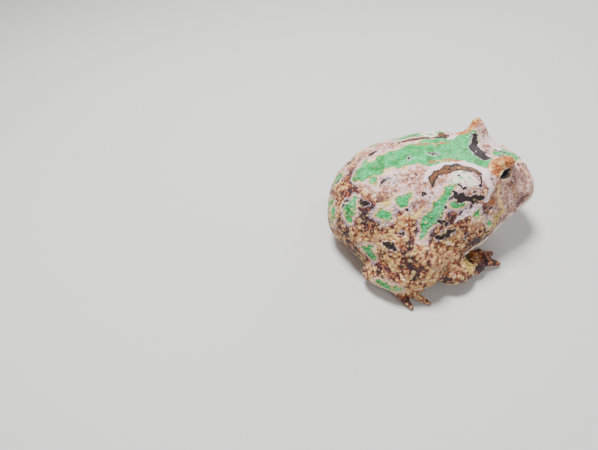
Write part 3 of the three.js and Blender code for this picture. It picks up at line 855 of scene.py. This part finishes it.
between = r.mix(r.step(tones, 0.43, 0.48), PURPLE_BROWN, RED_BROWN)
between = r.mix(r.step(tones, 0.5, 0.56), between, TAN)
granule_tone = r.mix(r.step(granule_kind, 0.5, 0.52), CREAM, YELLOW)
granule_tone = r.mix(r.step(granule_kind, 0.84, 0.86), granule_tone, ORANGE)
granule_tone = r.mix(r.step(granule_kind, 0.1, 0.08), granule_tone, BONE)
granule_size = r.plus(r.times(r.step(tones, 0.45, 0.62), 0.6), 0.04)
granule_share = r.step(r.math("SUBTRACT", granule, granule_size), 0.1, -0.08)
ground = r.mix(r.field("flank"), ground, r.mix(granule_share, between, granule_tone))

colour = r.mix(r.field("belly"), ground, r.mix(r.step(granule, 0.7, 0.3), ROSE, BELLY))
throat_tone = r.mix(r.step(granule, 0.75, 0.35), TAN, BELLY)
throat_tone = r.mix(r.times(r.step(blotch, 0.48, 0.66), 0.75), throat_tone, DUSK)
colour = r.mix(r.field("throat"), colour, r.mix(r.times(dark_grain, 0.5), throat_tone, DUSK))
print("with the ground:", len(r.tree.nodes), "nodes")

# %% [markdown]
# ## The strokes' colours
# The strokes are laid on the ground from the lowest to the highest. An edge is where a ragged distance passes
# 0, so it wanders like the edge of real pigment. Around green lie a dark line, a cream line and a pink haze,
# which are the same distance just further out.

# %% Lay the strokes' colours
colour = r.mix(r.times(inside(ragged("red")), 0.75), colour, between)
colour = r.mix(inside(ragged("olive")), colour, r.mix(r.step(fine, 0.45, 0.6), YELLOW, OLIVE))
colour = r.mix(inside(ragged("cream", 0.8)), colour, r.mix(r.step(fine, 0.42, 0.62), CREAM, YELLOW))

green = ragged("green")
green_tone = r.mix(r.step(blotch, 0.44, 0.62), MINT, LEAF)
green_tone = r.mix(r.times(r.step(tones, 0.52, 0.62), 0.6), green_tone, PALE_MINT)
green_tone = r.mix(r.times(r.step(tones, 0.44, 0.36), 0.5), green_tone, LEAF)
green_tone = r.mix(r.times(dark_grain, 0.35), green_tone, LEAF)
green_tone = r.mix(r.times(pale_grain, 0.3), green_tone, BONE)
colour = r.mix(r.times(inside(green, 2.0, 0.6), 0.55), colour, PINK)
for edge, tone in ((0.8, CREAM), (0.25, OLIVE), (0.0, green_tone)):
    colour = r.mix(inside(green, edge), colour, tone)

pink_tone = r.mix(r.times(dark_grain, 0.3), r.mix(r.step(fine, 0.45, 0.65), PINK, BONE), ROSE)
colour = r.mix(inside(ragged("pink", 0.5)), colour, pink_tone)
brown = ragged("brown", 0.5)
brown_tone = r.mix(r.step(fine, 0.42, 0.58), OLIVE, RED_BROWN)
colour = r.mix(inside(brown), colour, DARK)
colour = r.mix(inside(brown, -0.6), colour, r.mix(r.step(coarse, 0.52, 0.62), brown_tone, DARK))
colour = r.mix(inside(ragged("white", 0.7)), colour, r.mix(r.step(coarse, 0.45, 0.6), BONE, MINT))
orange_tone = r.mix(r.step(fine, 0.42, 0.62), ORANGE, RED_BROWN)
orange_tone = r.mix(r.step(coarse, 0.5, 0.62), orange_tone, CREAM)
colour = r.mix(inside(ragged("orange", 0.7)), colour, orange_tone)
# the dark strokes are markings, except the one at the rear corner of each lid, which is painted shade
dark = ragged("dark", 0.9)
colour = r.mix(r.times(inside(dark, 0.4), 0.5), colour, PINK)
colour = r.mix(inside(dark), colour, r.mix(r.step(fine, 0.5, 0.7), DARK, PURPLE_BROWN))
print("with the strokes:", len(r.tree.nodes), "nodes")

# %% [markdown]
# ## The last touches of colour
# Warts have pale tips. The upper lip has a white edge, broken by dusky patches. The mouth's groove and the
# nostrils are painted dark: this is painted shade in these hollows.

# %% Add tips, lip and nostrils
colour = r.mix(r.times(r.step(r.field("wart"), 0.22, 0.5), 0.6), colour, CREAM)
lip_tone = r.mix(r.step(tones, 0.44, 0.66), BONE, BLUSH)
lip_tone = r.mix(r.step(blotch, 0.5, 0.66), lip_tone, DUSK)
colour = r.mix(r.times(inside(ragged("lip", 0.35), 0.75, 0.3), 0.88), colour, lip_tone)
# painted shade: the mouth's groove is painted dark
colour = r.mix(inside(r.field("groove"), 0.25, 0.1), colour, DARK)
# painted shade: each nostril's pit is painted dark
colour = r.mix(inside(r.field("nose"), 1.1, 0.2), colour, DARK)
r.feed(r.shader.inputs["Base Color"], colour)
print("with the last touches:", len(r.tree.nodes), "nodes")

# %% [markdown]
# ## The skin's surface
# Real frog skin is granular and wet. Fine cells and noise bend the light as bump, too small to model. They
# are granules on the flanks and throat, and pepper grains and wrinkles everywhere. A thin clear coat gives
# the wet glints, and a little light passes through the skin.

# %% Finish the skin
granular = r.math("MAXIMUM", r.field("flank"), r.times(r.field("throat"), 0.5))
granule_height = r.times(r.step(granule, 0.75, 0.1), r.plus(r.times(granular, 0.8), 0.2))
grain = r.bumps(granule_height, 0.45, 0.8)
grain = r.bumps(r.step(pepper, 0.7, 0.1), 0.16, 0.7, grain)
grain = r.bumps(r.noise(1.6, 5, 0.65, 0.2), 0.5, 0.5, grain)
r.feed(r.shader.inputs["Normal"], grain)
r.feed(r.shader.inputs["Roughness"], r.step(fine, -0.9, 1.5))
r.settle(Coat_Weight=0.12, Coat_Roughness=0.18, Specular_IOR_Level=0.3)
r.settle(Subsurface_Weight=0.08, Subsurface_Radius=(1.0, 0.5, 0.3), Subsurface_Scale=MM)
skin.data.materials.clear()
skin.data.materials.append(r.material)
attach(skin, "root")
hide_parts(*FLESH)
print("skin recipe:", len(r.tree.nodes), "nodes")

# %% [markdown]
# ## Eyes
# A frog's eye is a wet ball with a pupil that lies flat. The ball is a finer sphere in the CAD ball's place.
# Two numbers on each point, along and up as seen from the front of the eye, let the material draw the pupil.

# %% Mix the eye
IRIS = linear(84, 56, 30)
GOLD = linear(196, 160, 96)
BLACK = linear(10, 8, 8)
PUPIL = (3.5, 1.9)  # half sizes, along and up

e = Recipe("wet_eye")
along, up = e.field("eye_along"), e.field("eye_up")
threads = e.noise(0.5, 4, 0.7)
from_middle = e.math("SQRT", e.plus(e.math("POWER", e.math("DIVIDE", along, PUPIL[0]), 2.0),
                                    e.math("POWER", e.math("DIVIDE", up, PUPIL[1]), 2.0)))
iris = e.mix(e.step(threads, 0.45, 0.6), IRIS, BLACK)
iris = e.mix(e.step(from_middle, 1.2, 1.02), iris, GOLD)
e.feed(e.shader.inputs["Base Color"], e.mix(e.step(from_middle, 1.04, 0.98), iris, BLACK))
e.settle(Roughness=0.12, Coat_Weight=0.1, Coat_Roughness=0.03, Specular_IOR_Level=0.3)
print("eye recipe:", len(e.tree.nodes), "nodes")

# %% Make the eyeballs
SIDES = (("right", -1), ("left", 1))
INSET = 0.03  # the ball is this much smaller than the solid one
NUMBERS_APART = 10000.0  # more than the ball has points


def add_piece(name, shape, side, material):
    """A smooth piece from a shape made for the right side, which is mirrored for the left."""
    if side > 0:
        bmesh.ops.scale(shape, verts=shape.verts, vec=(1, -1, 1))
    bmesh.ops.recalc_face_normals(shape, faces=shape.faces)
    for face in shape.faces:
        face.smooth = True
    data = bpy.data.meshes.new(name)
    shape.to_mesh(data)
    shape.free()
    data.materials.append(material)
    piece = bpy.data.objects.new(name, data)
    bpy.context.scene.collection.objects.link(piece)
    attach(piece, "root")
    print(name, len(data.polygons), "faces")
    return piece


def face_number(face):
    """A number of its own for each face, from the numbers of its points."""
    low, middle, high = sorted(vertex.index for vertex in face.verts)[:3]
    return (low * NUMBERS_APART + middle) * NUMBERS_APART + high


def eyeball():
    ball = bmesh.new()
    bmesh.ops.create_uvsphere(ball, u_segments=56, v_segments=40, radius=(EYE_R - INSET) * MM)
    ball.verts.index_update()
    ball.faces.sort(key=face_number)  # the operator lists the faces in another order each time
    along_layer = ball.verts.layers.float.new("eye_along")
    up_layer = ball.verts.layers.float.new("eye_up")
    for vertex in ball.verts:
        vertex[along_layer] = vertex.co.dot(Vector(eye_along)) / MM
        vertex[up_layer] = vertex.co.dot(Vector(eye_up)) / MM
    bmesh.ops.translate(ball, verts=ball.verts, vec=Vector(EYE_AT * MM))
    return ball


for side_name, side in SIDES:
    ball = add_piece(f"eyeball_{side_name}", eyeball(), side, e.material)
    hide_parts(f"eye_{side_name}")

# %% [markdown]
# ## Rims of the lids
# The edge of each lid is a thin pale roll of skin. It is made of small rings across the almond's outline, and
# it hides where the skin dives under the eyeball.

# %% Make the lid rims
RIM_R = 0.5
LOWER_SHARE = 0.7  # the lower rim is thinner
RIM_ABOVE = 0.6  # from the eyeball's surface to the middle of the roll
RIM_STEPS = 44
RIM_SIDES = 8
RIM_PALE = linear(244, 220, 180)
RIM_BROWN = linear(190, 140, 98)


def rim_point(step):
    """A point of the almond, on a shell just above the eyeball. A round takes RIM_STEPS steps."""
    angle = step / RIM_STEPS * 2 * math.pi
    along = math.cos(angle) * ALMOND["half"]
    which = "top" if math.sin(angle) >= 0 else "bottom"
    up = float(almond_edge(np.array(along), which))
    out = math.sqrt((EYE_R + RIM_ABOVE) ** 2 - along**2 - up**2)
    return Vector(EYE_AT + eye_along * along + eye_up * up + looks * out)


def ring_edges(ring):
    """The edges between the points of one ring, each once."""
    touching = dict.fromkeys(edge for vertex in ring for edge in vertex.link_edges)
    return [edge for edge in touching if all(vertex in ring for vertex in edge.verts)]


def lid_rim():
    """Rings across the almond's line, bridged into one closed roll."""
    rim = bmesh.new()
    rings = []
    for step in range(RIM_STEPS):
        here = rim_point(step)
        along = (rim_point(step + 1) - rim_point(step - 1)).normalized()
        outwards = (here - Vector(EYE_AT)).normalized()
        across = along.cross(outwards).normalized()
        radius = RIM_R * (LOWER_SHARE if step > RIM_STEPS / 2 else 1)
        place = Matrix.Translation(here * MM) @ Matrix((across, outwards, along)).transposed().to_4x4()
        made = bmesh.ops.create_circle(rim, segments=RIM_SIDES, radius=radius * MM, matrix=place)
        rings.append(made["verts"])
    for first, second in zip(rings, rings[1:] + rings[:1]):
        bmesh.ops.bridge_loops(rim, edges=ring_edges(first) + ring_edges(second))
    return rim


c = Recipe("pale_rim")
c.feed(c.shader.inputs["Base Color"], c.mix(c.step(c.noise(0.9, 3), 0.4, 0.62), RIM_PALE, RIM_BROWN))
c.feed(c.shader.inputs["Normal"], c.bumps(c.noise(0.4, 3), 0.2, 0.5))
c.settle(Roughness=0.35, Coat_Weight=0.3)
for side_name, side in SIDES:
    rim = add_piece(f"lid_rim_{side_name}", lid_rim(), side, c.material)

# %% [markdown]
# ## Floor and light
# A museum shows such a model on a plain pale table under large soft lamps. The floor isn't part of the frog.
# The key lamp is high above, and two weaker lamps fill its shadows.

# %% Set the floor
FLOOR_HALF = 3  # metres

floor_mesh = bpy.data.meshes.new("floor")
floor_shape = bmesh.new()
bmesh.ops.create_grid(floor_shape, x_segments=1, y_segments=1, size=FLOOR_HALF)
floor_shape.to_mesh(floor_mesh)
floor_shape.free()
floor = bpy.data.objects.new("floor", floor_mesh)
bpy.context.scene.collection.objects.link(floor)
floor_recipe = Recipe("pale_floor")
floor_recipe.settle(Base_Color=(0.62, 0.61, 0.59, 1), Roughness=0.8)
floor.data.materials.append(floor_recipe.material)
print("floor:", 2 * FLOOR_HALF, "m across")

# %% Set the lamps
AIM = Vector((0, 0, 0.02))
LAMPS = [
    # name, place in metres, size, watts
    ("key", (-0.12, 0.14, 0.6), 0.18, 8.0),
    ("fill", (0.15, -0.55, 0.4), 0.3, 1.4),
    ("back", (0.4, 0.35, 0.35), 0.3, 1.5),
]
for name, place, size, watts in LAMPS:
    lamp_data = bpy.data.lights.new(name, "AREA")
    lamp_data.shape = "DISK"
    lamp_data.size = size
    lamp_data.energy = watts
    lamp = bpy.data.objects.new(name, lamp_data)
    lamp.location = place
    lamp.rotation_euler = (AIM - Vector(place)).to_track_quat("-Z", "Y").to_euler()
    bpy.context.scene.collection.objects.link(lamp)
world = bpy.data.worlds.new("studio")
world.use_nodes = True
background = world.node_tree.nodes["Background"]
background.inputs["Color"].default_value = (0.9, 0.93, 1.0, 1)
background.inputs["Strength"].default_value = 0.3
bpy.context.scene.world = world
print("lamps:", len(LAMPS))
